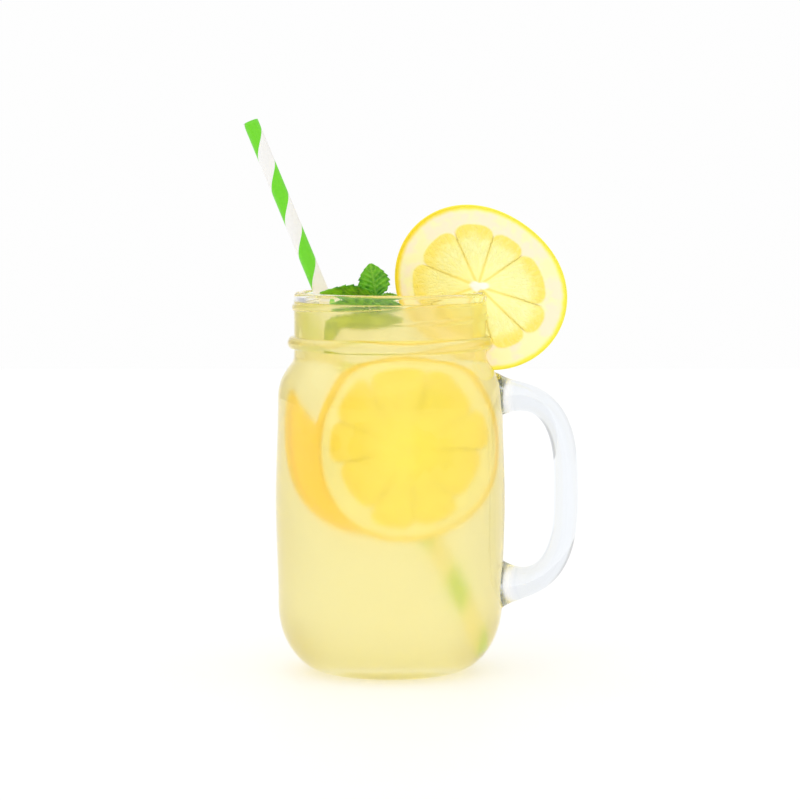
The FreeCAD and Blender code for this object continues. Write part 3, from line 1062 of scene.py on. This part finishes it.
def add_leaves(name, leaves, finish, slot, *nodes):
    """Leaves as one piece. Each leaf is rolled, raised, turned and put in its place."""
    all_points = []
    all_faces = []
    veins = []
    shares = []
    start = 0
    for one in leaves:
        points, vein, share, rows, columns = leaf_mesh(
            one["length"] * MM, one["width"] * MM, one["cup"] * MM,
        )
        turn = (
            Matrix.Rotation(math.radians(one["heading"]), 3, "Z")
            @ Matrix.Rotation(math.radians(-one["pitch"]), 3, "Y")
            @ Matrix.Rotation(math.radians(one["roll"]), 3, "X")
        )
        points = points @ np.array(turn).T + np.array(one["at"]) * MM
        all_points.append(points)
        all_faces += [tuple(start + i for i in face) for face in grid_faces(rows, columns, False)]
        veins.append(vein)
        shares.append(share)
        start += len(points)
    made = mesh_object(name, np.vstack(all_points), all_faces)
    write(made.data, "vein", np.concatenate(veins))
    write(made.data, "toward_tip", np.concatenate(shares))
    wall = made.modifiers.new("wall", "SOLIDIFY")
    wall.thickness = LEAF_WALL
    wall.offset = 0
    settle(made)
    finish_piece(made, finish, slot, *nodes)


# %% The look of mint
def mint_finish(name, dark, light, vein_colour):
    mint = Finish(name)
    vein = mint.attribute("vein")
    tip = mint.attribute("toward_tip")
    patches = mint.noise(mint.place(), 420.0, 3.0)
    blade = mint.mix((patches + tip * 0.25).between(0.4, 0.8), dark, light)
    mint.set(
        Base_Color=mint.mix(vein * 0.55, blade, vein_colour),
        Roughness=0.38 + patches * 0.2,
        IOR=1.45,
    )
    mint.relief(mint.noise(mint.place(), 2200.0), 0.12 * MM)
    return mint


fresh_mint = mint_finish(
    "mint_leaf", linear(44, 132, 10), linear(116, 196, 28), linear(150, 210, 60),
)

# %% Place the sprig
JOINT = (-4.75, -10.5, 132.3)
SPRIG = [
    {"length": 19.7, "width": 11.5, "cup": 14.0, "roll": 24, "pitch": 5, "heading": 185},
    {"length": 12.0, "width": 9.8, "cup": 13.0, "roll": 84, "pitch": 80, "heading": 180},
    {"length": 7.4, "width": 6.5, "cup": 9.0, "roll": -8, "pitch": 6, "heading": 12},
]
for one in SPRIG:
    one["at"] = JOINT
add_leaves("mint_leaves", SPRIG, fresh_mint, "mint_leaf", "mint_sprig")

# %% [markdown]
# ### Mint under the surface
#
# More mint is in the drink behind the glass of the neck. It is the same leaf again: one floats
# at the surface, one lies along the wall, and one points down.

# %% Sink some leaves
UNDER = [
    {
        "length": 24.0, "width": 8.5, "cup": 12.0, "roll": 38, "pitch": 2, "heading": 186,
        "at": (4.0, -19.5, 129.6),
    },
    {
        "length": 25.0, "width": 5.5, "cup": 14.0, "roll": 66, "pitch": -1, "heading": 187,
        "at": (4.0, -17.0, 124.9),
    },
    {
        "length": 11.0, "width": 6.0, "cup": 10.0, "roll": 66, "pitch": -62, "heading": 194,
        "at": (-15.4, -17.4, 126.5),
    },
]
soaked_mint = mint_finish(
    "soaked_mint_leaf", linear(140, 176, 20), linear(206, 226, 60), linear(220, 232, 100),
)
add_leaves("floating_mint", UNDER[:1], fresh_mint, "mint_leaf")
add_leaves("sunk_mint", UNDER[1:], soaked_mint, "mint_leaf")

# %% [markdown]
# ## The studio
#
# Glass shows its surroundings, so the room matters more than the lamps. The walls are white all
# round, apart from four dimmer upright corners that give the glass its grey edges. The floor is
# pale and glows a little, so it is as white as the walls and keeps only a faint shadow. One wide
# soft light hangs above.

# %% The floor
FLOOR_SIZE = 3.0
FLOOR_GLOW = 0.36

floor_finish = Finish("pale_floor")
grain_of_floor = floor_finish.noise(floor_finish.place(), 40.0)
floor_finish.set(
    Base_Color=floor_finish.mix(grain_of_floor, (0.59, 0.59, 0.59, 1), (0.61, 0.61, 0.61, 1)),
    Roughness=0.6,
    Emission_Color=WHITE,
    Emission_Strength=FLOOR_GLOW,
)
corner = FLOOR_SIZE / 2
floor = mesh_object(
    "floor",
    [(-corner, -corner, 0), (corner, -corner, 0), (corner, corner, 0), (-corner, corner, 0)],
    [(0, 1, 2, 3)],
)
floor.data.materials.append(floor_finish.material)

# %% The room and its light
ROOM_LIGHT = 0.99
CORNER_FROM = 0.28          # how far a direction is along both X and Y where a corner starts
CORNER_FULLY = 0.45
CORNER_DIMMING = 0.42

world = bpy.data.worlds.new("white_room")
world.use_nodes = True
room = Nodes(world.node_tree, "ShaderNode")
look = room.node("TexCoord").outputs["Generated"]
parts = room.node("SeparateXYZ", None, Vector=look)
in_corner = abs(Value(room, parts.outputs["X"]) * Value(room, parts.outputs["Y"]))
strength = ROOM_LIGHT * (1 - CORNER_DIMMING * in_corner.between(CORNER_FROM, CORNER_FULLY))
background = room.tree.nodes["Background"]
room.plug(background.inputs["Color"], WHITE)
room.plug(background.inputs["Strength"], strength)
bpy.context.scene.world = world

lamp = bpy.data.lights.new("skylight", "SUN")
lamp.energy = 0.5
lamp.angle = math.radians(100)
skylight = bpy.data.objects.new("skylight", lamp)
skylight.rotation_euler = (math.radians(20), math.radians(-20), 0)
bpy.context.scene.collection.objects.link(skylight)

# %% The camera, and how far light is followed
CAMERA_AT = (0.0035, -1.050, 0.181)
LOOKING_DOWN = 4.64         # degrees

lens = bpy.data.cameras.new("camera")
lens.lens = 134.5
lens.sensor_width = 36.0
camera = bpy.data.objects.new("camera", lens)
camera.location = CAMERA_AT
camera.rotation_euler = (math.radians(90 - LOOKING_DOWN), 0, 0)
bpy.context.scene.collection.objects.link(camera)
bpy.context.scene.camera = camera
bpy.context.scene.view_settings.view_transform = "Standard"

# Light crosses many walls of glass and drink here. With fewer bounces it is lost inside them.
light_paths = bpy.context.scene.cycles
light_paths.max_bounces = 64
light_paths.transmission_bounces = 64
light_paths.glossy_bounces = 64
light_paths.diffuse_bounces = 16
light_paths.volume_bounces = 16
light_paths.blur_glossy = 0.0
